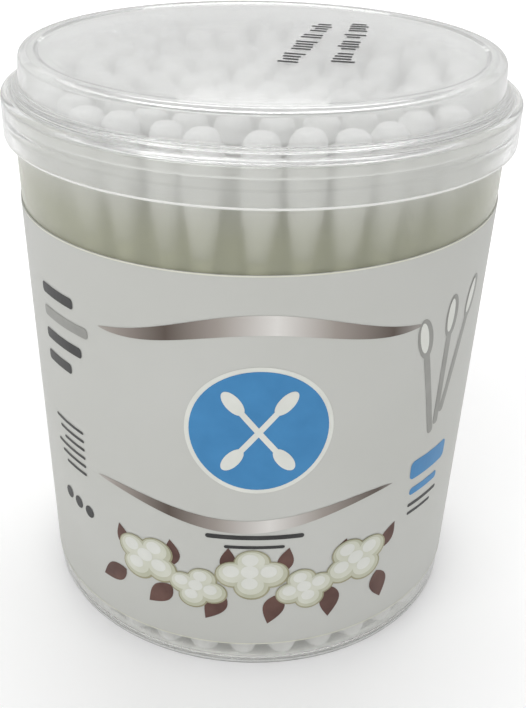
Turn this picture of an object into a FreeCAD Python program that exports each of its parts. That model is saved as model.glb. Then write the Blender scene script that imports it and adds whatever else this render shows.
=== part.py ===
import FreeCAD, Part
import math
import os
import random

# A round tub of cotton swabs with a press-fit lid. Lengths are in millimetres.
# +Z is up, the origin is the middle of the foot on the ground, and -Y is the printed front.

# Tub: a thin-walled cup with a small draft, a standing ring and a collar round the rim
TUB_FOOT_R = 30.5
TUB_DRAFT = 0.027
TUB_WALL = 0.6
TUB_FLOOR = 0.6
TUB_RIM_ROUND = 0.35
TUB_INNER_CORNER_R = 1.0
FOOT_RECESS = 0.25
FOOT_RING_WIDTH = 2.4
FOOT_EDGE_R = 1.2
COLLAR_STEP = 0.27
COLLAR_HEIGHT = 1.45
COLLAR_EDGE_R = 0.1
GATE_R = 1.2
GATE_HEIGHT = 0.15

# Lid: a skirt, two stepped shoulders and a raised flat top with a sunken panel
LID_WALL = 0.75
LID_SEAT_GAP = 0.05
LID_SNAP_CLEARANCE = 0.1
SKIRT_DEPTH = 4.75
SKIRT_LIP_R = 0.3
SKIRT_WALL = 0.85
SNAP_BEAD_HEIGHT = 0.1
SNAP_BEAD_ABOVE_EDGE = 2.5
SNAP_BEAD_HALF_WIDTH = 0.65
SNAP_BEAD_ROUND = 2.0
OUTER_SHOULDER_ROUND = 0.9
INNER_SHOULDER_INSET = 0.18
INNER_SHOULDER_RISE = 0.95
INNER_SHOULDER_WIDTH = 0.75
SHOULDER_ROUND = 0.3
PLATEAU_RISE = 3.9
PLATEAU_TAPER = 0.35
PLATEAU_ROUND = 0.9
TOP_RING_WIDTH = 1.6
TOP_STEP = 0.25
TOP_STEP_SLOPE = 0.5

# Label: a printed sleeve wrapped a little askew, with its seam at the back
LABEL_THICKNESS = 0.12
LABEL_GLUE = 0.02
LABEL_LOW_Z = 4.4
LABEL_BELOW_RIM = 12.8
LABEL_SKEW = 0.019
LABEL_LAP_ANGLE = 13.0

# Swabs: a paper stick with a wound cotton head at each end
SWAB_LENGTH = 75.1
SWAB_LENGTH_SPREAD = 0.5
STICK_R = 1.2
HEAD_R = 2.45
HEAD_TIP_R = 2.25
HEAD_TIP_ROUND = 1.7
HEAD_BELLY_AT = 5.6
HEAD_NECK_R = 2.15
HEAD_NECK_AT = 10.4
HEAD_LENGTH = 15.4
SWAB_SPACE = 0.14
SWAB_SEAT_GAP = 0.05
SWAB_HEADROOM = 1.55
SWAB_LID_CLEARANCE = 0.15
RING_FILL = 0.97
SWAB_WANDER = 1.0
SWAB_DRIFT = 2.4
SPREAD_ROUNDS = 160
SEED = 7

# How the pieces are shared out: the swabs nearest the wall are single pieces
SINGLE_SWABS = 56


def wall_r(height):
    """Outer radius of the tub's wall at a height."""
    return TUB_FOOT_R + TUB_DRAFT * height


FLOOR_Z = FOOT_RECESS + TUB_FLOOR
PANEL_ABOVE_RIM = LID_SEAT_GAP + INNER_SHOULDER_RISE + PLATEAU_RISE - TOP_STEP
TALLEST_SWAB_Z = FLOOR_Z + SWAB_SEAT_GAP + SWAB_LENGTH + SWAB_LENGTH_SPREAD
TUB_RIM_Z = TALLEST_SWAB_Z + SWAB_HEADROOM - PANEL_ABOVE_RIM
LABEL_HIGH_Z = TUB_RIM_Z - LABEL_BELOW_RIM
COLLAR_Z = TUB_RIM_Z - COLLAR_HEIGHT
COLLAR_R = wall_r(TUB_RIM_Z) + COLLAR_STEP
SEAT_Z = TUB_RIM_Z + LID_SEAT_GAP
SNAP_R = COLLAR_R + LID_SNAP_CLEARANCE
SKIRT_INNER_R = SNAP_R + SNAP_BEAD_HEIGHT
SKIRT_R = SKIRT_INNER_R + SKIRT_WALL
OUTER_SHOULDER_Z = SEAT_Z + LID_WALL
INNER_SHOULDER_R = wall_r(TUB_RIM_Z) - INNER_SHOULDER_INSET
PLATEAU_FOOT_R = INNER_SHOULDER_R - INNER_SHOULDER_WIDTH
PLATEAU_TOP_R = PLATEAU_FOOT_R - PLATEAU_TAPER
INNER_SHOULDER_Z = OUTER_SHOULDER_Z + INNER_SHOULDER_RISE
LID_TOP_Z = INNER_SHOULDER_Z + PLATEAU_RISE
SKIRT_LOW_Z = SEAT_Z - SKIRT_DEPTH


def vec(radius, height):
    """A point of a turned outline."""
    return FreeCAD.Vector(radius, 0, height)


def unit(start, end):
    """Unit vector from one point to another."""
    step = end - start
    return step * (1.0 / step.Length)


def rounded_outline(corners):
    """Closed wire through (radius, height, corner radius) triples, with tangent arcs."""
    points = [vec(r, z) for r, z, _ in corners]
    count = len(points)
    entries, exits, middles = [], [], []
    for i, point in enumerate(points):
        before, after = points[i - 1], points[(i + 1) % count]
        back, ahead = unit(point, before), unit(point, after)
        half_angle = back.getAngle(ahead) / 2
        reach = 0.45 * min((before - point).Length, (after - point).Length)
        cut = min(corners[i][2] / math.tan(half_angle), reach)
        radius = cut * math.tan(half_angle)
        entries.append(point + back * cut)
        exits.append(point + ahead * cut)
        bisector = (back + ahead).normalize() if cut > 0 else back
        middles.append(point + bisector * (radius / math.sin(half_angle) - radius))
    edges = []
    for i in range(count):
        if (exits[i] - entries[i]).Length > 1e-6:
            edges.append(Part.Arc(entries[i], middles[i], exits[i]).toShape())
        edges.append(Part.LineSegment(exits[i], entries[(i + 1) % count]).toShape())
    return Part.Wire(edges)


def turn(wire, angle=360.0):
    """Solid made by turning a closed outline around the Z axis."""
    axis = FreeCAD.Vector(0, 0, 1)
    return Part.Face(wire).revolve(FreeCAD.Vector(0, 0, 0), axis, angle)


def tub():
    """The cup, with its gate mark under the floor and its collar round the rim."""
    ring_inner = TUB_FOOT_R - FOOT_RING_WIDTH
    corners = [
        (0, FOOT_RECESS - GATE_HEIGHT, 0),
        (GATE_R, FOOT_RECESS - GATE_HEIGHT, 0.1),
        (GATE_R, FOOT_RECESS, 0.1),
        (ring_inner - FOOT_RECESS / 2, FOOT_RECESS, 0.3),
        (ring_inner, 0, 0.3),
        (TUB_FOOT_R, 0, FOOT_EDGE_R),
        (wall_r(COLLAR_Z), COLLAR_Z, COLLAR_EDGE_R),
        (COLLAR_R, COLLAR_Z, COLLAR_EDGE_R),
        (COLLAR_R, TUB_RIM_Z, TUB_RIM_ROUND),
        (wall_r(TUB_RIM_Z) - TUB_WALL, TUB_RIM_Z, TUB_RIM_ROUND),
        (wall_r(FLOOR_Z) - TUB_WALL, FLOOR_Z, TUB_INNER_CORNER_R),
        (0, FLOOR_Z, 0),
    ]
    return turn(rounded_outline(corners))


def lid():
    """The lid: skirt with its inner bead, two shoulders, plateau wall and the flat top."""
    snap_z = SKIRT_LOW_Z + SNAP_BEAD_ABOVE_EDGE
    panel_r = PLATEAU_TOP_R - PLATEAU_ROUND - TOP_RING_WIDTH
    panel_z = LID_TOP_Z - TOP_STEP
    inner_z = INNER_SHOULDER_Z - LID_WALL
    outside = [
        (SKIRT_INNER_R, SKIRT_LOW_Z, SKIRT_LIP_R),
        (SKIRT_R, SKIRT_LOW_Z, SKIRT_LIP_R),
        (SKIRT_R, OUTER_SHOULDER_Z, OUTER_SHOULDER_ROUND),
        (INNER_SHOULDER_R, OUTER_SHOULDER_Z, SHOULDER_ROUND),
        (INNER_SHOULDER_R, INNER_SHOULDER_Z, SHOULDER_ROUND),
        (PLATEAU_FOOT_R, INNER_SHOULDER_Z, SHOULDER_ROUND),
        (PLATEAU_TOP_R, LID_TOP_Z, PLATEAU_ROUND),
        (panel_r + TOP_STEP_SLOPE, LID_TOP_Z, 0.3),
        (panel_r, panel_z, 0.3),
        (0, panel_z, 0),
    ]
    inside = [
        (0, panel_z - LID_WALL, 0),
        (panel_r, panel_z - LID_WALL, 0.3),
        (panel_r + TOP_STEP_SLOPE, LID_TOP_Z - LID_WALL, 0.3),
        (PLATEAU_TOP_R - LID_WALL, LID_TOP_Z - LID_WALL, PLATEAU_ROUND / 2),
        (PLATEAU_FOOT_R - LID_WALL, inner_z, SHOULDER_ROUND),
        (INNER_SHOULDER_R - LID_WALL, inner_z, 0.2),
        (INNER_SHOULDER_R - LID_WALL, SEAT_Z, 0.2),
        (SKIRT_INNER_R, SEAT_Z, SHOULDER_ROUND),
        (SKIRT_INNER_R, snap_z + SNAP_BEAD_HALF_WIDTH, SNAP_BEAD_ROUND),
        (SNAP_R, snap_z, SNAP_BEAD_ROUND),
        (SKIRT_INNER_R, snap_z - SNAP_BEAD_HALF_WIDTH, SNAP_BEAD_ROUND),
    ]
    return turn(rounded_outline(outside + inside))


def sleeve(inner_gap, low, high, angle=360.0):
    """A band of label stock that follows the wall's draft."""
    near, far = inner_gap, inner_gap + LABEL_THICKNESS
    corners = [
        (wall_r(low) + near, low, 0),
        (wall_r(low) + far, low, 0),
        (wall_r(high) + far, high, 0),
        (wall_r(high) + near, high, 0),
    ]
    return turn(rounded_outline(corners), angle)


def label():
    """The sleeve and its lapped seam, cut by two parallel planes that lean to one side."""
    reach = 2 * TUB_FOOT_R
    margin = LABEL_SKEW * reach
    low, high = LABEL_LOW_Z - margin, LABEL_HIGH_Z + margin
    lap = sleeve(LABEL_GLUE + LABEL_THICKNESS, low, high, LABEL_LAP_ANGLE)
    lap.rotate(FreeCAD.Vector(0, 0, 0), FreeCAD.Vector(0, 0, 1), 90 - LABEL_LAP_ANGLE / 2)
    band = sleeve(LABEL_GLUE, low, high).fuse(lap)
    lean = math.atan(LABEL_SKEW)
    height = (LABEL_HIGH_Z - LABEL_LOW_Z) * math.cos(lean)
    slab = Part.makeBox(2 * reach, 2 * reach, height, FreeCAD.Vector(-reach, -reach, 0))
    slab.rotate(FreeCAD.Vector(0, 0, 0), FreeCAD.Vector(0, 1, 0), -math.degrees(lean))
    slab.translate(FreeCAD.Vector(0, 0, LABEL_LOW_Z))
    return band.common(slab)


def head_outline(tip_z, way):
    """Half outline of a cotton head from its tip to the stick: way is 1 if it points down."""
    def at(radius, along):
        return vec(radius, tip_z + way * along)
    flat_r = HEAD_TIP_R - HEAD_TIP_ROUND
    reach = HEAD_TIP_ROUND * math.sqrt(0.5)
    flat = Part.LineSegment(at(0, 0), at(flat_r, 0))
    middle = at(flat_r + reach, HEAD_TIP_ROUND - reach)
    corner = Part.Arc(at(flat_r, 0), middle, at(HEAD_TIP_R, HEAD_TIP_ROUND))
    belly_end = at(HEAD_NECK_R, HEAD_NECK_AT)
    belly = Part.Arc(at(HEAD_TIP_R, HEAD_TIP_ROUND), at(HEAD_R, HEAD_BELLY_AT), belly_end)
    neck = Part.LineSegment(belly_end, at(STICK_R, HEAD_LENGTH))
    return [flat.toShape(), corner.toShape(), belly.toShape(), neck.toShape()]


def straight_swab(length):
    """One swab standing on the Z axis, with its lower tip at the origin."""
    stick = Part.LineSegment(vec(STICK_R, HEAD_LENGTH), vec(STICK_R, length - HEAD_LENGTH))
    axis = Part.LineSegment(vec(0, length), vec(0, 0))
    edges = head_outline(0, 1) + [stick.toShape()] + head_outline(length, -1) + [axis.toShape()]
    return turn(Part.Wire(Part.__sortEdges__(edges)))


def ring_places(reach, pitch, chance):
    """Swab places on rings from the wall inwards, a pitch apart, with the slack spread at random."""
    places = []
    radius = reach
    while radius > pitch / 2:
        room = math.pi / math.asin(min(1.0, pitch / 2 / radius))
        count = int(RING_FILL * room)
        start = chance.uniform(0, 2 * math.pi)
        for i in range(count):
            wander = chance.uniform(-0.5, 0.5) * (room / count - 1)
            angle = start + 2 * math.pi * (i + wander) / count
            places.append((radius * math.cos(angle), radius * math.sin(angle)))
        radius -= pitch
    places.append((0.0, 0.0))
    return places


def push_apart(places, reach, pitch):
    """Move places until each pair is a pitch apart and none is further out than the reach."""
    places = [list(place) for place in places]
    for _ in range(SPREAD_ROUNDS):
        for i, here in enumerate(places):
            for there in places[:i]:
                dx, dy = here[0] - there[0], here[1] - there[1]
                gap = math.hypot(dx, dy)
                if gap < pitch:
                    push = (pitch - gap) / 2 / max(gap, 1e-6)
                    here[0] += dx * push
                    here[1] += dy * push
                    there[0] -= dx * push
                    there[1] -= dy * push
        for here in places:
            out = math.hypot(here[0], here[1])
            if out > reach:
                here[0] *= reach / out
                here[1] *= reach / out
    return places


def swab_axes():
    """Foot place, head place and length of each swab, from the wall inwards."""
    chance = random.Random(SEED)
    pitch = 2 * HEAD_R + SWAB_SPACE
    floor_reach = wall_r(FLOOR_Z + HEAD_BELLY_AT) - TUB_WALL - HEAD_R - SWAB_SPACE
    lid_reach = PLATEAU_TOP_R - LID_WALL - HEAD_R - SWAB_LID_CLEARANCE
    feet = ring_places(floor_reach, pitch, chance)
    heads = []
    for x, y in feet:
        inwards = 1 - chance.uniform(0, SWAB_DRIFT) / max(math.hypot(x, y), pitch)
        dx = chance.uniform(-SWAB_WANDER, SWAB_WANDER)
        dy = chance.uniform(-SWAB_WANDER, SWAB_WANDER)
        heads.append((x * inwards + dx, y * inwards + dy))
    heads = push_apart(heads, lid_reach, pitch)
    lengths = [SWAB_LENGTH + chance.uniform(-1, 1) * SWAB_LENGTH_SPREAD for _ in feet]
    return list(zip(feet, heads, lengths))


def leaning_swab(foot, head, length):
    """A swab that stands on the floor at one place and leans so that its top is over another."""
    swab = straight_swab(length)
    pivot = FreeCAD.Vector(0, 0, HEAD_TIP_R)
    span = length - 2 * HEAD_TIP_R
    dx, dy = head[0] - foot[0], head[1] - foot[1]
    lean = math.degrees(math.asin(min(1.0, math.hypot(dx, dy) / span)))
    swab.rotate(pivot, FreeCAD.Vector(-dy, dx, 0) if lean > 0 else FreeCAD.Vector(1, 0, 0), lean)
    swab.translate(FreeCAD.Vector(foot[0], foot[1], FLOOR_Z + SWAB_SEAT_GAP))
    return swab


def save(shape, node):
    """Write one piece."""
    shape.exportStep("parts/" + node + ".step")


def main():
    os.makedirs("parts", exist_ok=True)
    save(tub(), "tub")
    save(lid(), "lid")
    save(label(), "label")
    swabs = [leaning_swab(*axis) for axis in swab_axes()]
    for number, swab in enumerate(swabs[:SINGLE_SWABS], 1):
        save(swab, "swab_%02d" % number)
    if len(swabs) > SINGLE_SWABS:
        save(Part.makeCompound(swabs[SINGLE_SWABS:]), "inner_swabs")


main()
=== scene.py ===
import math
import random
from collections import Counter

import bmesh
import bpy
from mathutils import Matrix, Vector, noise


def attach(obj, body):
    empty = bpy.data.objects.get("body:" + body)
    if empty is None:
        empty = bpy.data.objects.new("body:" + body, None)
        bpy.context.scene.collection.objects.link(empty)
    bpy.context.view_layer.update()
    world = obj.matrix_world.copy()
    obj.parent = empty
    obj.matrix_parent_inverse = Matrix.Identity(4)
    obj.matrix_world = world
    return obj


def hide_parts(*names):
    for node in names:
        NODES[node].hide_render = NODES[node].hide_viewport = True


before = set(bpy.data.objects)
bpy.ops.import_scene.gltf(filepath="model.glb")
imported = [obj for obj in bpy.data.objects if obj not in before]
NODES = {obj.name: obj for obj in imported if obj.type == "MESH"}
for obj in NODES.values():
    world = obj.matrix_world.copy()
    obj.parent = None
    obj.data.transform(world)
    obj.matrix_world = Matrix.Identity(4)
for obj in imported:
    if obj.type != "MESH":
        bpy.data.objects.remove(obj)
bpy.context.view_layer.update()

# A round see-through tub of cotton swabs: +Z is up, the print faces -Y, and lengths are in metres
MM = 0.001
SEED = 11

# Camera, from a fit to the tub's outlines: pixels are those of a 526 by 708 frame
FRAME_W = 526
FRAME_H = 708
CAMERA_AWAY = 138.2 * MM
CAMERA_UP = 108.3 * MM
CAMERA_PITCH = 0.4984
CAMERA_YAW = -0.0228
CAMERA_ROLL = 0.0163
CAMERA_FOCAL_PX = 1044.6
CAMERA_CENTRE_X = 232.6
CAMERA_CENTRE_Y = 354.2
CAMERA_NEAR = 5.0 * MM
SENSOR_MM = 36.0

# Lamps as name, place, width and length, and power: all aim at the tub's middle
LAMP_AIM = (0.0, 0.0, 45.0 * MM)
LAMPS = (
    ("key", (-0.20, -0.42, 0.58), (0.62, 0.09), 1.3),
    ("right_strip", (0.55, -0.22, 0.30), (0.03, 0.40), 0.07),
    ("overhead", (0.02, 0.34, 0.72), (0.60, 0.30), 1.8),
    ("back_window_low", (-0.008, 1.0, 0.3595), (0.167, 0.010), 0.012),
    ("back_window_high", (-0.008, 1.0, 0.404), (0.167, 0.022), 0.014),
)

# Sky: its strength as a fill, and where it is mirrored or seen through plastic, from front to back
SKY_FILL = 0.60
SKY_MIRRORED = ((0.05, 0.35), (0.5, 1.0), (0.8, 1.0), (0.972, 0.80), (0.993, 0.56))
SKY_SEEN = 1.0

# Floor: its white, and the glow that keeps it pale to the camera, which grows away from the tub, so that
# less glow near the tub paints shade round its foot
FLOOR_SIZE = 6.0
FLOOR_WHITE = 0.93
FLOOR_GLOW_FROM = 40.0 * MM
FLOOR_GLOW_TO = 250.0 * MM
FLOOR_GLOW_LEAST = 0.12
FLOOR_GLOW_MOST = 0.42

# Turned shells: the frame's outlines turned in finer steps, a hair inside its box
TURN_STEPS = 360
TURN_SCALE = 0.9996
EDGE_HOLD = 0.04 * MM
LONG_RUN = 5 * EDGE_HOLD
SAME_POINT = 1e-6
ON_AXIS = 0.1 * MM
SEAM_WIDTH = 0.001

# Heights and half widths of painted highlights, pale bands on the plastics' edges where those would
# catch light, and where light enters at the foot
COLLAR_HIGHLIGHT = (71.95 * MM, 0.12 * MM)
SKIRT_HIGHLIGHT = (68.8 * MM, 0.13 * MM)
HIGHLIGHT_PEAK = 0.9
FOOT_LIGHT_FROM = 6.0 * MM
FOOT_LIGHT_TO = 12.0 * MM

# Form of a swab, as its solid has it
HEAD_LENGTH = 15.4 * MM
TIP_R = 2.25 * MM
TIP_ROUND = 1.7 * MM
TIP_EDGE = 0.1 * MM
BELLY_R = 2.45 * MM
NECK_R = 2.15 * MM
NECK_AT = 10.4 * MM
STICK_R = 1.2 * MM

# How the cotton lies on the stick: its rings crowd towards the tip
HEAD_RINGS = 26
HEAD_SIDES = 26
FIRST_RING_AT = 0.012
RING_CROWDING = 1.35
SMALLEST_HEAD = 0.97
COTTON_LUMP = 0.13 * MM
COTTON_LUMPS = ((0.45, 1.4), (1.3, 0.6))
COTTON_SINK = 0.7 * COTTON_LUMP
COTTON_SHIFT = 90
COTTON_WIND = 0.05 * MM
COTTON_WIND_TURNS = 7
COTTON_WIND_STARTS = 2
COTTON_DIMPLE = 0.45 * MM
SMOOTH_TIP_R = 1.5 * MM
SMOOTH_END = 6

# Loose fibres, as ribbons that start on a head
FIBRES_PER_HEAD = 70
FIBRE_WIDTH = 0.022 * MM
FIBRE_STEPS = 4
FIBRE_STARTS = (0.02, 0.85)
FIBRE_SWING = 0.9
FIBRE_CLIMB = 1.2
FIBRE_LIFT = (0.06, 0.30)
FIBRE_SLANT = 0.4
FIBRE_SINK = 0.05 * MM

# Paper stick, a hair thinner than the solid's
STICK_SIDES = 20
STICK_TUCK = 3.0 * MM
STICK_THINNER = 0.01 * MM

# Surfaces that carry print, in mm
TUB_FOOT_R = 30.5
TUB_DRAFT = 0.027
LABEL_OUT = 0.14
LABEL_PRINT_R = 31.5
LABEL_SKEW = 0.019
LID_PANEL_Z = 78.8
LID_PANEL_R = 27.4

# Ink: flat outlines a hair off the surface, each a hair above the one before, in strips that wrap
INK_LIFT = 0.03 * MM
OUTLINE_LIFT = 0.001
LABEL_STRIP = 0.9
LID_STRIP = 5.0
CUT_NEAR = 1e-5

# Outlines: how finely they are drawn, and how their ends taper
CIRCLE_POINTS = 48
DISC_POINTS = 72
LOBE_POINTS = 28
CORNER_STEPS = 6
LEAF_STEPS = 12
LEAF_TAPER = 0.8
WAVE_STEPS = 60
WAVE_TAPER = 0.7
WAVE_END = 0.02

# Drawn swabs: their forms as shares of their length
SIGN_STICK_LENGTH = 0.8
SIGN_STICK_WIDTH = 0.06
SIGN_HEAD_AT = 0.4
SIGN_HEAD_LENGTH = 0.15
SIGN_HEAD_WIDTH = 0.075

# Front of the label, in mm: u is the way round from the front and z the height
WAVE_HIGH = (-20, 22, 52.6, 3.4, 2.6)
WAVE_LOW = (-22, 20, 26.4, -3.0, 2.0)
DISC_AT = (0.9, 39.6)
DISC_R = 8.6
DISC_RIM_R = 9.2
SIGN_LENGTH = 13.0
SIGN_TURNS = (52, 128)
FRONT_BARS = ((0.8, 23.2, 13.0, 0.7), (0.8, 21.6, 8.0, 0.5))

# Row of puffs: each has a middle lobe and a ring of outer ones, in tones from its rim to its light top
PUFFS = range(-2, 3)
PUFF_PITCH = 7.4
PUFF_U = 0.6
PUFF_Z = 15.4
PUFF_ZIGZAG = 1.5
PUFF_SIZES = (4.5, 3.8)
PUFF_TURN = 0.3
PUFF_FLATNESS = 0.8
PUFF_TONES = (("olive", 1.0, 0.0), ("shade", 0.91, 0.02), ("cream", 0.72, 0.07), ("white", 0.44, 0.14))
MIDDLE_LOBE = 0.60
OUTER_LOBE = 0.56
OUTER_LOBE_AT = 0.56
OUTER_LOBES = 4
LOBE_FLATNESS = 0.9

# Leaves between the puffs, a low and a high one: place, size, first turn and its step in degrees
LEAVES = range(-3, 3)
LEAF_U = 4.3
LEAF_KINDS = (
    {"u": 0.0, "z": 13.4, "length": 5.4, "width": 3.0, "turn": -105, "step": 14},
    {"u": 0.4, "z": 17.2, "length": 4.2, "width": 2.2, "turn": 80, "step": -9},
)

# Left of the label: stacked bars as length and ink, short bars below, and a row of dots
LEFT_BARS = ((7.5, "black"), (10.0, "grey"), (8.5, "black"), (6.0, "black"))
LEFT_BARS_AT = (-32.0, 52.2)
LEFT_BARS_PITCH = 3.3
LEFT_BAR_HEIGHT = 1.5
LEFT_BAR_CORNER = 0.5
SHORT_BARS = 6
SHORT_BARS_AT = (-28.2, 33.0)
SHORT_BARS_PITCH = 1.35
SHORT_BAR_LONGEST = 7.0
SHORT_BAR_HEIGHT = 0.45
DOTS = 3
DOTS_AT = (-30.0, 20.6)
DOTS_STEP = (2.6, -0.3)
DOT_R = 0.95

# Right of the label: a fan of swab forms, and bars as u, z, width, height and corner
FAN = 3
FAN_AT = (30.5, 43.0)
FAN_STEP = (-2.9, -1.2)
FAN_TURN = 74
FAN_TURN_STEP = 15
FAN_STICK = (15.5, 1.1)
FAN_HEAD_OUT = 8.2
FAN_HEAD = (3.0, 1.35)
FAN_LIGHT = (2.3, 0.75)
FAN_LIGHT_SHIFT = (-0.25, 0.2)
RIGHT_BLUE_BARS = ((27.6, 28.2, 8.4, 3.0, 0.8), (27.0, 24.6, 6.4, 1.2, 0.5))
RIGHT_BLACK_BARS = ((27.2, 22.3, 6.8, 0.6), (26.6, 20.9, 5.4, 0.5))

# Pale strips painted on the film's cut edges as highlights: name and middle height in mm
FILM_EDGES = (("label_edge_high", 60.49), ("label_edge_low", 4.49))
FILM_EDGE_HALF = 0.09

# Dashes on the lid, in mm from its middle: start and end of each row
DASH_ROWS = (((3.2, -9.0), (8.8, 14.0)), ((9.8, -8.5), (13.8, 14.5)))
DASH_STEPS = 16
DASH_GAPS = (4, 9, 12)
DASH_LENGTHS = (1.8, 3.0)
DASH_WIDTH = 0.75
DASH_CORNER = 0.15
DASH_WANDER = 0.15


def new_object(name, data):
    obj = bpy.data.objects.new(name, data)
    bpy.context.scene.collection.objects.link(obj)
    return obj


def smooth_mesh(name, verts, faces):
    mesh = bpy.data.meshes.new(name)
    mesh.from_pydata([tuple(v) for v in verts], [], faces)
    mesh.update()
    mesh.polygons.foreach_set("use_smooth", [True] * len(mesh.polygons))
    return mesh


def set_material(obj, material):
    obj.data.materials.clear()
    obj.data.materials.append(material)


class Shader:
    """The node tree of a material or a world, with short calls for adding and joining nodes."""

    def __init__(self, owner, output="ShaderNodeOutputMaterial"):
        owner.use_nodes = True
        self.owner = owner
        self.tree = owner.node_tree
        self.tree.nodes.clear()
        self.output = self.add(output)

    def feed(self, socket, value):
        """Join a socket to another, or set on it what is the same all over."""
        if isinstance(value, bpy.types.NodeSocket):
            self.tree.links.new(value, socket)
        elif socket.type == "RGBA" and isinstance(value, float):
            socket.default_value = (value, value, value, 1.0)
        else:
            socket.default_value = value

    def add(self, kind, settings=None, **inputs):
        """A new node with its settings, and its inputs by name, with _ for each space."""
        node = self.tree.nodes.new(kind)
        for key, value in (settings or {}).items():
            setattr(node, key, value)
        for key, value in inputs.items():
            self.feed(node.inputs[key.replace("_", " ")], value)
        return node

    def surface(self, shader):
        """Give the tree its surface, and return its material or world."""
        self.feed(self.output.inputs["Surface"], shader)
        return self.owner

    def places(self):
        """Object coordinates, in metres."""
        return self.add("ShaderNodeTexCoord").outputs["Object"]

    def noise(self, scale, detail=3.0, rough=0.5):
        """Noise between 0 and 1 in object coordinates."""
        inputs = {"Scale": scale, "Detail": detail, "Roughness": rough, "Vector": self.places()}
        return self.add("ShaderNodeTexNoise", **inputs).outputs["Fac"]

    def ramp(self, value, stops):
        """Colour along a value, from stops of place and colour."""
        node = self.add("ShaderNodeValToRGB", Fac=value)
        elements = node.color_ramp.elements
        while len(elements) < len(stops):
            elements.new(0.5)
        for element, (place, colour) in zip(elements, stops):
            element.position = place
            element.color = (*colour, 1.0)
        return node.outputs["Color"]

    def spread(self, value, low, high, at_low, at_high):
        """A number that goes from one level to another as the value goes from low to high."""
        if at_low == at_high:
            return at_low
        ends = {"From_Min": low, "From_Max": high, "To_Min": at_low, "To_Max": at_high}
        return self.add("ShaderNodeMapRange", Value=value, **ends).outputs[0]

    def calc(self, operation, *values):
        """The result of one sum."""
        node = self.add("ShaderNodeMath", {"operation": operation})
        for socket, value in zip(node.inputs, values):
            self.feed(socket, value)
        return node.outputs[0]

    def band(self, value, middle, half):
        """A painted highlight line's share: full in its inner half, and falling to 0 a half width away.
        """
        away = self.calc("ABSOLUTE", self.calc("SUBTRACT", value, middle))
        return self.spread(away, half * 0.5, half, HIGHLIGHT_PEAK, 0.0)

    def blend(self, share, first, second):
        """The first shader with a share of the second."""
        mix = self.add("ShaderNodeMixShader")
        for socket, value in zip(mix.inputs, (share, first, second)):
            self.feed(socket, value)
        return mix.outputs[0]

    def bump(self, height, strength, distance):
        """A normal that follows small heights."""
        inputs = {"Strength": strength, "Distance": distance, "Height": height}
        return self.add("ShaderNodeBump", **inputs).outputs["Normal"]

    def principled(self, colour, roughness, **inputs):
        """The output of a Principled node."""
        inputs.update(Base_Color=colour, Roughness=roughness)
        return self.add("ShaderNodeBsdfPrincipled", **inputs).outputs[0]


def new_material(name):
    return Shader(bpy.data.materials.new(name))


def shaded(colour, share):
    """A darker tone of a colour."""
    return tuple(channel * share for channel in colour)


def plastic(name, tint, haze_tint, heights, rough, haze, highlight_lines=(), coat=0.8, gloss=0.5,
            lets_in=(0.98, 0.98), thins=None):
    """Moulded see-through plastic: glossy outside, it blurs what lies behind and lets lamps through.

    rough and haze are its roughness and its share of haze at the two heights, and thins is
    (low, high, what is left) where the haze gets less again. The highlight lines are painted highlights:
    pale bands at edges, as (height, half width). lets_in is the share of lamp light that enters at the
    foot and above it.
    """
    s = new_material(name)
    height = s.add("ShaderNodeSeparateXYZ", Vector=s.places()).outputs["Z"]
    share = s.spread(height, *heights, *haze)
    if thins:
        share = s.calc("MULTIPLY", share, s.spread(height, thins[0], thins[1], 1.0, thins[2]))
    cloud = s.noise(scale=160.0, detail=4.0, rough=0.6)
    normal = s.bump(s.noise(scale=700.0, detail=2.0), strength=0.012, distance=0.2 * MM)
    colour = s.ramp(cloud, [(0.3, shaded(tint, 0.97)), (0.7, tint)])
    finish = {"IOR": 1.49, "Transmission_Weight": 1.0, "Specular_IOR_Level": gloss,
              "Coat_Weight": coat, "Coat_Roughness": 0.06, "Normal": normal}
    skin = s.principled(colour, s.spread(height, *heights, *rough), **finish)
    milk = s.ramp(cloud, [(0.3, shaded(haze_tint, 0.94)), (0.7, haze_tint)])
    body = s.blend(share, skin, s.add("ShaderNodeBsdfDiffuse", Color=milk).outputs[0])
    # Pale matt colour painted in narrow bands at edges: painted highlights
    edge = s.add("ShaderNodeBsdfDiffuse", Color=(0.93, 0.93, 0.90, 1.0)).outputs[0]
    for place, half in highlight_lines:
        body = s.blend(s.band(height, place, half), body, edge)
    ray = s.add("ShaderNodeLightPath").outputs
    lighting = s.calc("MAXIMUM", ray["Is Shadow Ray"], ray["Is Diffuse Ray"])
    entering = s.spread(height, FOOT_LIGHT_FROM, FOOT_LIGHT_TO, *lets_in)
    through = s.add("ShaderNodeBsdfTransparent", Color=entering).outputs[0]
    return s.surface(s.blend(lighting, body, through))


def cotton_material():
    """Bleached cotton: matt, with a fine tangle of strands and a faint sheen."""
    s = new_material("cotton")
    strands = s.noise(scale=2600.0, detail=4.0, rough=0.7)
    tone = s.ramp(strands, [(0.25, (0.84, 0.84, 0.83)), (0.75, (0.94, 0.94, 0.93))])
    normal = s.bump(strands, strength=0.5, distance=0.3 * MM)
    soft = {"Sheen_Weight": 0.25, "Sheen_Roughness": 0.6, "Specular_IOR_Level": 0.1}
    return s.surface(s.principled(tone, 1.0, Normal=normal, **soft))


def stick_material():
    """Rolled paper with short fibres."""
    s = new_material("rolled_paper")
    fibre = s.noise(scale=1500.0, rough=0.6)
    tone = s.ramp(fibre, [(0.3, (0.51, 0.51, 0.36)), (0.7, (0.57, 0.57, 0.42))])
    normal = s.bump(fibre, strength=0.2, distance=0.1 * MM)
    return s.surface(s.principled(tone, 0.6, Normal=normal))


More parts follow.
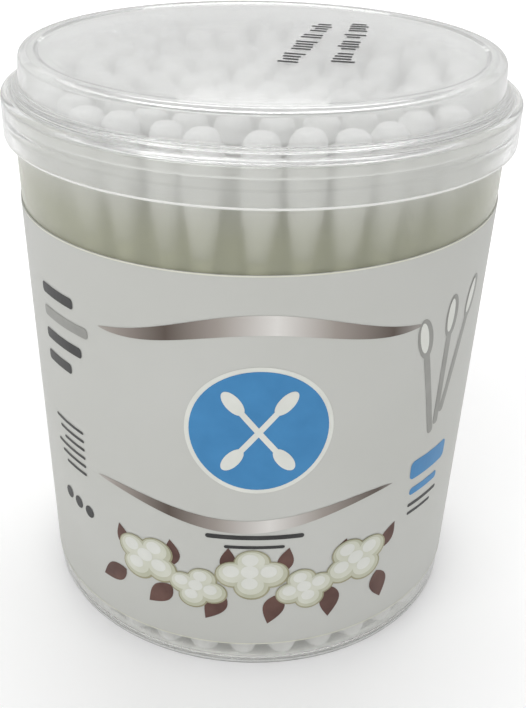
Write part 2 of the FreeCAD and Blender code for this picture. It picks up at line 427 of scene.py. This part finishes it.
def label_material():
    """Semi-gloss film in a pale grey that varies broadly."""
    s = new_material("label_film")
    broad = s.noise(scale=45.0, detail=2.0)
    tone = s.ramp(broad, [(0.3, (0.575, 0.58, 0.545)), (0.7, (0.605, 0.61, 0.58))])
    normal = s.bump(s.noise(scale=400.0), strength=0.05, distance=0.1 * MM)
    return s.surface(s.principled(tone, 0.42, Specular_IOR_Level=0.35, Normal=normal))


def ink_material(name, dark, light, gloss=0.35):
    """Ink that varies a little between two tones."""
    s = new_material(name)
    tone = s.ramp(s.noise(scale=300.0), [(0.3, dark), (0.7, light)])
    return s.surface(s.principled(tone, 0.4, Specular_IOR_Level=gloss))


def silver_material():
    """Silver-brown ink whose tone goes from pale to dark and back twice across the label: the
    silver-brown is the ink's own, and its pale and dark bands are a painted metallic sheen.
    """
    s = new_material("silver_ink")
    across = s.add("ShaderNodeSeparateXYZ", Vector=s.places()).outputs["X"]
    dark, mid, pale = (0.10, 0.075, 0.06), (0.36, 0.32, 0.29), (0.78, 0.76, 0.73)
    # Pale and dark bands fixed across the label: a painted metallic sheen
    places = (0.0, 0.16, 0.30, 0.42, 0.55, 0.68, 0.82, 1.0)
    stops = list(zip(places, (pale, mid, dark, mid, pale, mid, dark, pale)))
    tone = s.ramp(s.spread(across, -26.0 * MM, 26.0 * MM, 0.0, 1.0), stops)
    return s.surface(s.principled(tone, 0.32, Metallic=0.25))


def welded(node):
    """A node's mesh with the points that share a place joined."""
    tool = bmesh.new()
    tool.from_mesh(NODES[node].data)
    bmesh.ops.remove_doubles(tool, verts=tool.verts, dist=SAME_POINT)
    return tool


def around(point):
    """Way round the Z axis of a point, in radians."""
    return math.atan2(point.y, point.x)


def seam_outline(node):
    """Outline of a turned node in (radius, height), along its seam: the angle with the most points."""
    tool = welded(node)
    rim = [v for v in tool.verts if v.co.xy.length > ON_AXIS]
    seam_at = Counter(round(around(v.co), 3) for v in rim).most_common(1)[0][0]
    seam = {v for v in rim if abs(around(v.co) - seam_at) < SEAM_WIDTH}
    ends = [v for v in seam if sum(e.other_vert(v) in seam for e in v.link_edges) == 1]
    here = min(ends, key=lambda v: v.co.z)
    path, seen = [(0.0, here.co.z)], set()
    while here is not None:
        seen.add(here)
        path.append((here.co.xy.length, here.co.z))
        ahead = [e.other_vert(here) for e in here.link_edges]
        here = next((v for v in ahead if v in seam and v not in seen), None)
    path.append((0.0, path[-1][1]))
    tool.free()
    return path


def hold_edges(path):
    """The outline with a point near each end of its long runs, so that shading keeps to the corners."""
    held = []
    for (r0, z0), (r1, z1) in zip(path, path[1:]):
        held.append((r0, z0))
        run = math.hypot(r1 - r0, z1 - z0)
        if run > LONG_RUN:
            for t in (EDGE_HOLD / run, 1 - EDGE_HOLD / run):
                held.append((r0 + (r1 - r0) * t, z0 + (z1 - z0) * t))
    return held + [path[-1]]


def cut_at(path, radius):
    """The outline with one point more wherever it crosses a radius."""
    cut = [path[0]]
    for (r0, z0), (r1, z1) in zip(path, path[1:]):
        if (r0 - radius) * (r1 - radius) < 0:
            cut.append((radius, z0 + (z1 - z0) * (radius - r0) / (r1 - r0)))
        cut.append((r1, z1))
    return cut


def turned_mesh(name, path):
    """Closed mesh made by turning an outline that starts and ends on the axis."""
    verts = [(0, 0, path[0][1]), (0, 0, path[-1][1])]
    faces = []
    rings = path[1:-1]
    for radius, height in rings:
        reach = radius * TURN_SCALE
        for k in range(TURN_STEPS):
            angle = 2 * math.pi * k / TURN_STEPS
            verts.append((reach * math.cos(angle), reach * math.sin(angle), height))
    last = 2 + (len(rings) - 1) * TURN_STEPS
    for k in range(TURN_STEPS):
        n = (k + 1) % TURN_STEPS
        faces.append((0, 2 + n, 2 + k))
        faces.append((1, last + k, last + n))
        for i in range(len(rings) - 1):
            a = 2 + i * TURN_STEPS
            b = a + TURN_STEPS
            faces.append((a + k, a + n, b + n, b + k))
    return smooth_mesh(name, verts, faces)


def turned_shell(name, node, body, material, panel=None):
    """A finely turned shell with a node's own outline, which stands for it.

    panel is the radius and the material of its flat middle, where that has a finish of its own.
    """
    path = hold_edges(seam_outline(node))
    if panel:
        path = cut_at(path, panel[0])
    shell = new_object(name, turned_mesh(name, path))
    set_material(shell, material)
    if panel:
        shell.data.materials.append(panel[1])
        for face in shell.data.polygons:
            face.material_index = int(math.hypot(face.center.x, face.center.y) < panel[0])
    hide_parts(node)
    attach(shell, body)


def dress_cad():
    """Shells with their own finish for the tub and the lid, and film on the label's solid."""
    tub = plastic(
        "clear_tub", tint=(0.95, 0.955, 0.93), haze_tint=(0.50, 0.51, 0.355),
        heights=(4.0 * MM, 56.0 * MM), rough=(0.12, 0.28), haze=(0.02, 0.30),
        highlight_lines=[COLLAR_HIGHLIGHT], lets_in=(0.97, 0.84), thins=(64.5 * MM, 69.5 * MM, 0.3))
    lid = plastic(
        "hazy_lid", tint=(0.95, 0.955, 0.95), haze_tint=(0.80, 0.81, 0.79),
        heights=(73.5 * MM, 78.7 * MM), rough=(0.09, 0.12), haze=(0.07, 0.18), highlight_lines=[SKIRT_HIGHLIGHT])
    turned_shell("tub_shell", "tub", "tub_body", tub)
    panel = plastic(
        "frosted_panel", tint=(0.96, 0.965, 0.96), haze_tint=(0.90, 0.905, 0.89),
        heights=(73.5 * MM, 78.7 * MM), rough=(0.09, 0.09), haze=(0.11, 0.11), coat=0.0, gloss=0.06)
    turned_shell("lid_shell", "lid", "lid_body", lid, (LID_PANEL_R * MM, panel))
    set_material(NODES["label"], label_material())


def placed(u, z, a, b, turn):
    """The point (a, b) of a form that stands at (u, z) with a turn."""
    return u + a * math.cos(turn) - b * math.sin(turn), z + a * math.sin(turn) + b * math.cos(turn)


def outline_circle(u, z, ru, rz, turn=0.0, points=CIRCLE_POINTS):
    """An oval outline, tilted by a turn."""
    ways = [2 * math.pi * i / points for i in range(points)]
    return [placed(u, z, ru * math.cos(t), rz * math.sin(t), turn) for t in ways]


def outline_bar(u, z, width, height, corner=None, turn=0.0):
    """A bar with rounded corners, centred at (u, z)."""
    corner = min(width, height) / 2 if corner is None else corner
    rim = []
    for k, (su, sz) in enumerate(((1, 1), (-1, 1), (-1, -1), (1, -1))):
        for i in range(CORNER_STEPS + 1):
            t = (k + i / CORNER_STEPS) * math.pi / 2
            a = su * (width / 2 - corner) + corner * math.cos(t)
            b = sz * (height / 2 - corner) + corner * math.sin(t)
            rim.append(placed(u, z, a, b, turn))
    return rim


def outline_leaf(u, z, length, width, turn):
    """A pointed leaf that starts at (u, z)."""
    rim = []
    for side in (1, -1):
        for i in range(LEAF_STEPS):
            t = i / LEAF_STEPS if side == 1 else 1 - i / LEAF_STEPS
            b = side * width / 2 * math.sin(math.pi * t ** LEAF_TAPER)
            rim.append(placed(u, z, length * t, b, turn))
    return rim


def outline_wave(u0, u1, z, rise, thick):
    """A band that swells in its middle and runs along a gentle S curve."""
    upper, lower = [], []
    for i in range(WAVE_STEPS + 1):
        t = i / WAVE_STEPS
        u = u0 + (u1 - u0) * t
        mid = z + rise / 2 * math.sin(2 * math.pi * (t - 0.25))
        half = thick / 2 * math.sin(math.pi * t) ** WAVE_TAPER
        upper.append((u, mid + half + WAVE_END))
        lower.append((u, mid - half - WAVE_END))
    return upper + lower[::-1]


def outline_swab(u, z, length, turn):
    """Outlines of a plain two-headed swab: a thin stick and an oval at each end."""
    rims = [outline_bar(u, z, length * SIGN_STICK_LENGTH, length * SIGN_STICK_WIDTH, turn=turn)]
    for way in (-1, 1):
        middle = placed(u, z, way * length * SIGN_HEAD_AT, 0.0, turn)
        rims.append(outline_circle(*middle, length * SIGN_HEAD_LENGTH, length * SIGN_HEAD_WIDTH, turn))
    return rims


def flat_patch(rims, strip):
    """Flat mesh in (u, z) of the filled outlines, cut into strips narrow enough to wrap.

    Each outline lies a hair above the one before, so that none share a plane where they cross.
    """
    tool = bmesh.new()
    for number, rim in enumerate(rims):
        ring = [tool.verts.new((u, z, OUTLINE_LIFT * number)) for u, z in rim]
        tool.faces.new(ring)
    bmesh.ops.triangulate(tool, faces=tool.faces[:])
    low = min(v.co.x for v in tool.verts)
    high = max(v.co.x for v in tool.verts)
    for k in range(math.ceil(low / strip), math.floor(high / strip) + 1):
        geom = tool.verts[:] + tool.edges[:] + tool.faces[:]
        cut = {"plane_co": (k * strip, 0, 0), "plane_no": (1, 0, 0), "dist": CUT_NEAR}
        bmesh.ops.bisect_plane(tool, geom=geom, **cut)
    return tool


def finish_patch(name, tool, material, body):
    """The piece that a patch of ink becomes."""
    bmesh.ops.recalc_face_normals(tool, faces=tool.faces[:])
    mesh = bpy.data.meshes.new(name)
    tool.to_mesh(mesh)
    tool.free()
    piece = new_object(name, mesh)
    set_material(piece, material)
    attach(piece, body)


def print_on_label(name, rims, ink, layer=1):
    """Ink on the label: u is the way round from the front in mm, z the height in mm."""
    tool = flat_patch(rims, LABEL_STRIP)
    for vert in tool.verts:
        u, z, lift = vert.co
        angle = u / LABEL_PRINT_R
        radius = (TUB_FOOT_R + TUB_DRAFT * z + LABEL_OUT + lift) * MM + INK_LIFT * layer
        z += LABEL_SKEW * radius / MM * math.sin(angle)
        vert.co = (radius * math.sin(angle), -radius * math.cos(angle), z * MM)
    finish_patch(name, tool, ink, "tub_body")


def print_on_lid(name, rims, ink):
    """Ink on the lid's flat top: outlines are in mm, x to the right and y to the back."""
    tool = flat_patch(rims, LID_STRIP)
    height = LID_PANEL_Z * MM + INK_LIFT
    for vert in tool.verts:
        x, y, lift = vert.co
        vert.co = (x * MM, y * MM, height + lift * MM)
    finish_patch(name, tool, ink, "lid_body")


def front_print(inks):
    """Blue disc with a sign of crossed swabs, silver waves above and below, and plain dark bars."""
    print_on_label("print_wave_high", [outline_wave(*WAVE_HIGH)], inks["silver"])
    print_on_label("print_wave_low", [outline_wave(*WAVE_LOW)], inks["silver"])
    rim, disc = [outline_circle(*DISC_AT, r, r, points=DISC_POINTS) for r in (DISC_RIM_R, DISC_R)]
    print_on_label("print_disc_rim", [rim], inks["white"])
    print_on_label("print_disc", [disc], inks["blue"], 2)
    sign = []
    for turn in SIGN_TURNS:
        sign += outline_swab(*DISC_AT, SIGN_LENGTH, math.radians(turn))
    print_on_label("print_sign", sign, inks["white"], 3)
    print_on_label("print_bars", [outline_bar(*bar) for bar in FRONT_BARS], inks["black"])


def puff(layers, u, z, size, turn):
    """One cream puff of round lobes, with their outlines on each layer of tone."""
    ways = [turn + k * 2 * math.pi / OUTER_LOBES for k in range(OUTER_LOBES)]
    lobes = [(0.0, 0.0, MIDDLE_LOBE)] + [(OUTER_LOBE_AT, way, OUTER_LOBE) for way in ways]
    for reach, way, share in lobes:
        a = u + size * reach * math.cos(way)
        b = z + PUFF_FLATNESS * size * reach * math.sin(way)
        for layer, (_, scale, rise) in zip(layers, PUFF_TONES):
            centre = (a - 0.5 * rise * size, b + rise * size)
            radius = size * share * scale
            layer.append(outline_circle(*centre, radius, LOBE_FLATNESS * radius, points=LOBE_POINTS))


def cotton_frieze(inks):
    """A row of cream puffs with brown leaves between them, low on the label."""
    layers, leaves = [[] for _ in PUFF_TONES], []
    for k in PUFFS:
        z = PUFF_Z + PUFF_ZIGZAG * math.cos(math.pi * k)
        puff(layers, PUFF_PITCH * k + PUFF_U, z, PUFF_SIZES[k % 2], PUFF_TURN * k)
    for k in LEAVES:
        for leaf in LEAF_KINDS:
            u = PUFF_PITCH * k + LEAF_U + leaf["u"]
            turn = math.radians(leaf["turn"] + leaf["step"] * k)
            leaves.append(outline_leaf(u, leaf["z"], leaf["length"], leaf["width"], turn))
    print_on_label("print_leaves", leaves, inks["brown"])
    for number, (layer, (tone, _, _)) in enumerate(zip(layers, PUFF_TONES)):
        print_on_label("print_puffs_" + tone, layer, inks[tone], 2 + number)


def left_print(inks):
    """Stacked plain bars, black and grey, with short thin bars and a row of dots below."""
    bars = {"black": [], "grey": []}
    for k, (length, ink) in enumerate(LEFT_BARS):
        u, z = LEFT_BARS_AT[0] + length / 2, LEFT_BARS_AT[1] - LEFT_BARS_PITCH * k
        bars[ink].append(outline_bar(u, z, length, LEFT_BAR_HEIGHT, LEFT_BAR_CORNER))
    for k in range(SHORT_BARS):
        shorter = k % 3
        u, z = SHORT_BARS_AT[0] + shorter / 2, SHORT_BARS_AT[1] - SHORT_BARS_PITCH * k
        bars["black"].append(outline_bar(u, z, SHORT_BAR_LONGEST - shorter, SHORT_BAR_HEIGHT))
    for k in range(DOTS):
        u, z = DOTS_AT[0] + DOTS_STEP[0] * k, DOTS_AT[1] + DOTS_STEP[1] * k
        bars["black"].append(outline_circle(u, z, DOT_R, DOT_R))
    print_on_label("print_left_black", bars["black"], inks["black"])
    print_on_label("print_left_grey", bars["grey"], inks["grey"])


def right_print(inks):
    """Three grey swab forms in a fan, with blue and black bars below, at the right."""
    shade, light = [], []
    for k in range(FAN):
        turn = math.radians(FAN_TURN + FAN_TURN_STEP * k)
        u, z = FAN_AT[0] + FAN_STEP[0] * k, FAN_AT[1] + FAN_STEP[1] * k
        top = placed(u, z, FAN_HEAD_OUT, 0.0, turn)
        shine = (top[0] + FAN_LIGHT_SHIFT[0], top[1] + FAN_LIGHT_SHIFT[1])
        shade.append(outline_bar(u, z, *FAN_STICK, turn=turn))
        shade.append(outline_circle(*top, *FAN_HEAD, turn))
        light.append(outline_circle(*shine, *FAN_LIGHT, turn))
    print_on_label("print_right_grey", shade, inks["grey"])
    print_on_label("print_right_light", light, inks["white"], 2)
    print_on_label("print_right_blue", [outline_bar(*bar) for bar in RIGHT_BLUE_BARS], inks["blue"])
    print_on_label("print_right_bars", [outline_bar(*bar) for bar in RIGHT_BLACK_BARS], inks["black"])


def label_edges(inks):
    """Pale strips painted on the film's cut edges, top and bottom, as highlights."""
    half = math.pi * LABEL_PRINT_R
    for name, z in FILM_EDGES:
        low, high = z - FILM_EDGE_HALF, z + FILM_EDGE_HALF
        print_on_label(name, [[(-half, low), (half, low), (half, high), (-half, high)]], inks["edge"])


def date_marks(inks):
    """Two rows of short plain dashes on the lid, where such tubs carry their dates."""
    chance = random.Random(SEED + 1)
    marks = []
    for (x0, y0), (x1, y1) in DASH_ROWS:
        turn = math.atan2(y1 - y0, x1 - x0) - math.pi / 2
        for k in range(DASH_STEPS + 1):
            if k in DASH_GAPS:
                continue
            t = k / DASH_STEPS
            x = x0 + (x1 - x0) * t + chance.uniform(-DASH_WANDER, DASH_WANDER)
            y = y0 + (y1 - y0) * t
            marks.append(outline_bar(x, y, chance.uniform(*DASH_LENGTHS), DASH_WIDTH, DASH_CORNER, turn))
    print_on_lid("date_marks", marks, inks["date"])


def prints():
    """All the ink, each part in its own colours."""
    inks = {
        "silver": silver_material(),
        "blue": ink_material("blue_ink", (0.045, 0.23, 0.49), (0.055, 0.26, 0.54)),
        "black": ink_material("black_ink", (0.03, 0.03, 0.03), (0.05, 0.05, 0.05)),
        "date": ink_material("date_ink", (0.015, 0.015, 0.015), (0.03, 0.03, 0.03), gloss=0.05),
        "grey": ink_material("grey_ink", (0.30, 0.30, 0.28), (0.36, 0.36, 0.34)),
        "white": ink_material("white_ink", (0.74, 0.75, 0.70), (0.80, 0.81, 0.76)),
        "shade": ink_material("shade_ink", (0.50, 0.51, 0.38), (0.60, 0.60, 0.48)),
        "cream": ink_material("cream_ink", (0.64, 0.65, 0.54), (0.72, 0.73, 0.64)),
        "olive": ink_material("olive_ink", (0.30, 0.28, 0.17), (0.42, 0.40, 0.27)),
        "brown": ink_material("brown_ink", (0.09, 0.040, 0.032), (0.15, 0.075, 0.06)),
        # Pale cream for the film's edges: a painted highlight
        "edge": ink_material("painted_edge_highlight", (0.72, 0.72, 0.60), (0.80, 0.80, 0.70)),
    }
    front_print(inks)
    cotton_frieze(inks)
    left_print(inks)
    right_print(inks)
    label_edges(inks)
    date_marks(inks)


def solid_groups(node):
    """The separate solids of a node, each as a list of its points."""
    tool = welded(node)
    seen, groups = set(), []
    for start in tool.verts:
        if start in seen:
            continue
        seen.add(start)
        group, todo = [], [start]
        while todo:
            vert = todo.pop()
            group.append(vert.co.copy())
            for edge in vert.link_edges:
                other = edge.other_vert(vert)
                if other not in seen:
                    seen.add(other)
                    todo.append(other)
        groups.append(group)
    tool.free()
    return groups


def swab_axis(points):
    """Lower tip and upper tip of a swab, from the points of its solid."""
    low = min(p.z for p in points)
    high = max(p.z for p in points)
    third = (high - low) / 3
    foot = [p for p in points if p.z < low + third]
    top = [p for p in points if p.z > high - third]
    a = sum(foot, Vector()) / len(foot)
    b = sum(top, Vector()) / len(top)
    way = (b - a).normalized()
    reach = [(p - a).dot(way) for p in points]
    return a + way * min(reach), a + way * max(reach)


def head_radius(along):
    """Radius of a cotton head at a distance from its tip, as the solid has it."""
    if along < TIP_ROUND:
        flat = (TIP_R - TIP_ROUND) * min(1.0, along / TIP_EDGE)
        return flat + math.sqrt(max(0.0, TIP_ROUND ** 2 - (TIP_ROUND - along) ** 2))
    if along < NECK_AT:
        t = (along - TIP_ROUND) / (NECK_AT - TIP_ROUND)
        chord = TIP_R + (NECK_R - TIP_R) * t
        return chord + (BELLY_R - 0.5 * (TIP_R + NECK_R)) * 4 * t * (1 - t)
    t = (along - NECK_AT) / (HEAD_LENGTH - NECK_AT)
    return NECK_R + (STICK_R - NECK_R) * min(1.0, t)


def axis_frame(tip, way):
    """Matrix that takes +Z to the given way, at the tip."""
    turn = Vector((0, 0, 1)).rotation_difference(way).to_matrix().to_4x4()
    return Matrix.Translation(tip) @ turn


def cotton_head(verts, faces, tip, way, chance):
    """One wound head: lumps and the shallow ridges of wound cotton over the solid's form."""
    place = axis_frame(tip, way)
    shift = Vector([chance.uniform(0, COTTON_SHIFT) for _ in range(3)])
    spin = chance.uniform(0, 2 * math.pi)
    size = chance.uniform(SMALLEST_HEAD, 1.0)
    base = len(verts)
    for i in range(HEAD_RINGS + 1):
        t = i / HEAD_RINGS
        along = HEAD_LENGTH * (FIRST_RING_AT + (1 - FIRST_RING_AT) * t ** RING_CROWDING)
        radius = head_radius(along)
        fade = min(1.0, radius / SMOOTH_TIP_R) * min(1.0, (1 - t) * SMOOTH_END)
        for j in range(HEAD_SIDES):
            angle = 2 * math.pi * j / HEAD_SIDES + spin
            flat = Vector((math.cos(angle), math.sin(angle), 0))
            probe = (flat * radius + Vector((0, 0, along))) / MM + shift
            lump = sum(noise.noise(probe * scale) * COTTON_LUMP * share for scale, share in COTTON_LUMPS)
            turn = COTTON_WIND_TURNS * 2 * math.pi * t + angle * COTTON_WIND_STARTS
            out = radius * size + (lump + math.sin(turn) * COTTON_WIND - COTTON_SINK) * fade
            verts.append(place @ (flat * out + Vector((0, 0, along))))
    verts.append(place @ Vector((0, 0, COTTON_DIMPLE * size)))
    for i in range(HEAD_RINGS):
        for j in range(HEAD_SIDES):
            k = (j + 1) % HEAD_SIDES
            a, b = base + i * HEAD_SIDES, base + (i + 1) * HEAD_SIDES
            faces.append((a + j, a + k, b + k, b + j))
    last = len(verts) - 1
    for j in range(HEAD_SIDES):
        faces.append((last, base + (j + 1) % HEAD_SIDES, base + j))
    end = base + HEAD_RINGS * HEAD_SIDES
    faces.append(tuple(end + j for j in range(HEAD_SIDES)))


def head_fibres(verts, faces, tip, way, chance):
    """Loose fibres: fine curved ribbons that start on the head and lie close over it."""
    place = axis_frame(tip, way)
    for _ in range(FIBRES_PER_HEAD):
        along = HEAD_LENGTH * chance.uniform(*FIBRE_STARTS)
        angle = chance.uniform(0, 2 * math.pi)
        swing = chance.uniform(-FIBRE_SWING, FIBRE_SWING)
        climb = chance.uniform(-FIBRE_CLIMB, FIBRE_CLIMB)
        lift = chance.uniform(*FIBRE_LIFT) * MM
        base = len(verts)
        for step in range(FIBRE_STEPS + 1):
            t = step / FIBRE_STEPS
            z = max(FIBRE_SINK, along + climb * MM * t)
            radius = head_radius(z) - FIBRE_SINK + lift * math.sin(math.pi * t)
            turn = angle + swing * t
            side = Vector((-math.sin(turn), math.cos(turn), 0)) * (climb * FIBRE_SLANT)
            core = Vector((math.cos(turn) * radius, math.sin(turn) * radius, z))
            half = (Vector((0, 0, 1)) + side).normalized() * FIBRE_WIDTH / 2
            verts.append(place @ (core - half))
            verts.append(place @ (core + half))
        for step in range(FIBRE_STEPS):
            a = base + 2 * step
            faces.append((a, a + 1, a + 3, a + 2))


def stick(verts, faces, low, high):
    """The paper stick, from inside one head to inside the other."""
    way = (high - low).normalized()
    bare = HEAD_LENGTH - STICK_TUCK
    place = axis_frame(low + way * bare, way)
    base = len(verts)
    radius = STICK_R - STICK_THINNER
    for z in (0.0, (high - low).length - 2 * bare):
        for j in range(STICK_SIDES):
            angle = 2 * math.pi * j / STICK_SIDES
            verts.append(place @ Vector((radius * math.cos(angle), radius * math.sin(angle), z)))
    for j in range(STICK_SIDES):
        k = (j + 1) % STICK_SIDES
        faces.append((base + j, base + k, base + STICK_SIDES + k, base + STICK_SIDES + j))
    faces.append(tuple(base + j for j in reversed(range(STICK_SIDES))))
    faces.append(tuple(base + STICK_SIDES + j for j in range(STICK_SIDES)))


def swabs():
    """Every swab, on the axis of its solid: its cotton and its stick are separate pieces."""
    cotton, paper = cotton_material(), stick_material()
    chance = random.Random(SEED)
    for name in sorted(n for n in NODES if "swab" in n):
        heads_mesh, sticks_mesh = ([], []), ([], [])
        for points in solid_groups(name):
            low, high = swab_axis(points)
            way = (high - low).normalized()
            for tip, inwards in ((low, way), (high, -way)):
                cotton_head(*heads_mesh, tip, inwards, chance)
                head_fibres(*heads_mesh, tip, inwards, chance)
            stick(*sticks_mesh, low, high)
        heads = new_object(name + "_cotton", smooth_mesh(name + "_cotton", *heads_mesh))
        sticks = new_object(name + "_stick", smooth_mesh(name + "_stick", *sticks_mesh))
        set_material(heads, cotton)
        set_material(sticks, paper)
        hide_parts(name)
        for piece, slot in ((heads, "cotton"), (sticks, "stick")):
            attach(piece, "tub_body")


def pale_floor():
    """A floor that keeps the lamps' shadow and glows a little to the camera, less near the tub, which
    paints shade round its foot.
    """
    s = new_material("floor")
    ray = s.add("ShaderNodeLightPath").outputs
    seen = s.calc("MAXIMUM", ray["Is Camera Ray"], ray["Is Transmission Ray"])
    away = s.add("ShaderNodeVectorMath", {"operation": "LENGTH"}, Vector=s.places()).outputs["Value"]
    # Less glow near the tub darkens the floor there: painted shade round the foot
    strength = s.spread(away, FLOOR_GLOW_FROM, FLOOR_GLOW_TO, FLOOR_GLOW_LEAST, FLOOR_GLOW_MOST)
    glow = s.add("ShaderNodeEmission", Strength=strength).outputs[0]
    matt = s.add("ShaderNodeBsdfDiffuse", Color=FLOOR_WHITE).outputs[0]
    both = s.add("ShaderNodeAddShader")
    s.feed(both.inputs[0], matt)
    s.feed(both.inputs[1], glow)
    bpy.ops.mesh.primitive_plane_add(size=FLOOR_SIZE, location=(0, 0, 0))
    floor = bpy.context.object
    floor.name = "floor"
    set_material(floor, s.surface(s.blend(seen, matt, both.outputs[0])))


def white_sky():
    """An even white sky that fills less than it shows, and is mirrored dimmer at the front and back."""
    world = bpy.data.worlds.new("studio")
    bpy.context.scene.world = world
    s = Shader(world, "ShaderNodeOutputWorld")
    ray = s.add("ShaderNodeLightPath").outputs
    way = s.add("ShaderNodeTexCoord").outputs["Generated"]
    to_back = s.spread(s.add("ShaderNodeSeparateXYZ", Vector=way).outputs["Y"], -1.0, 1.0, 0.0, 1.0)
    mirrored = s.ramp(to_back, [(place, (glow, glow, glow)) for place, glow in SKY_MIRRORED])
    fill, mirror, seen = [
        s.add("ShaderNodeBackground", Color=1.0, Strength=strength).outputs[0]
        for strength in (SKY_FILL, mirrored, SKY_SEEN)]
    shine = s.calc("MAXIMUM", ray["Is Glossy Ray"], ray["Is Transmission Ray"])
    s.surface(s.blend(ray["Is Camera Ray"], s.blend(shine, fill, mirror), seen))


def lamps():
    """Soft rectangular lamps, and two thin windows behind that streak the lid's edges."""
    for name, place, size, power in LAMPS:
        light = bpy.data.lights.new(name, "AREA")
        light.shape = "RECTANGLE"
        light.size, light.size_y = size
        light.energy = power
        lamp = new_object(name, light)
        lamp.location = place
        lamp.rotation_euler = (Vector(LAMP_AIM) - Vector(place)).to_track_quat("-Z", "Y").to_euler()


def camera():
    """The fitted camera, with the photo's framing as a lens shift."""
    data = bpy.data.cameras.new("camera")
    obj = new_object("camera", data)
    cp, sp = math.cos(CAMERA_PITCH), math.sin(CAMERA_PITCH)
    cy, sy = math.cos(CAMERA_YAW), math.sin(CAMERA_YAW)
    ahead = Vector((sy * cp, cy * cp, -sp))
    right = Vector((cy, -sy, 0.0))
    up = right.cross(ahead)
    cr, sr = math.cos(CAMERA_ROLL), math.sin(CAMERA_ROLL)
    right, up = right * cr + up * sr, up * cr - right * sr
    turn = Matrix((right, up, -ahead)).transposed().to_4x4()
    obj.matrix_world = Matrix.Translation((0, -CAMERA_AWAY, CAMERA_UP)) @ turn
    data.sensor_fit = "AUTO"
    data.sensor_width = SENSOR_MM
    data.lens = CAMERA_FOCAL_PX * SENSOR_MM / FRAME_H
    data.shift_x = -(CAMERA_CENTRE_X - FRAME_W / 2) / FRAME_H
    data.shift_y = (CAMERA_CENTRE_Y - FRAME_H / 2) / FRAME_H
    data.clip_start = CAMERA_NEAR
    bpy.context.scene.camera = obj


dress_cad()
prints()
swabs()
pale_floor()
white_sky()
lamps()
camera()
bpy.context.scene.view_settings.view_transform = "Standard"
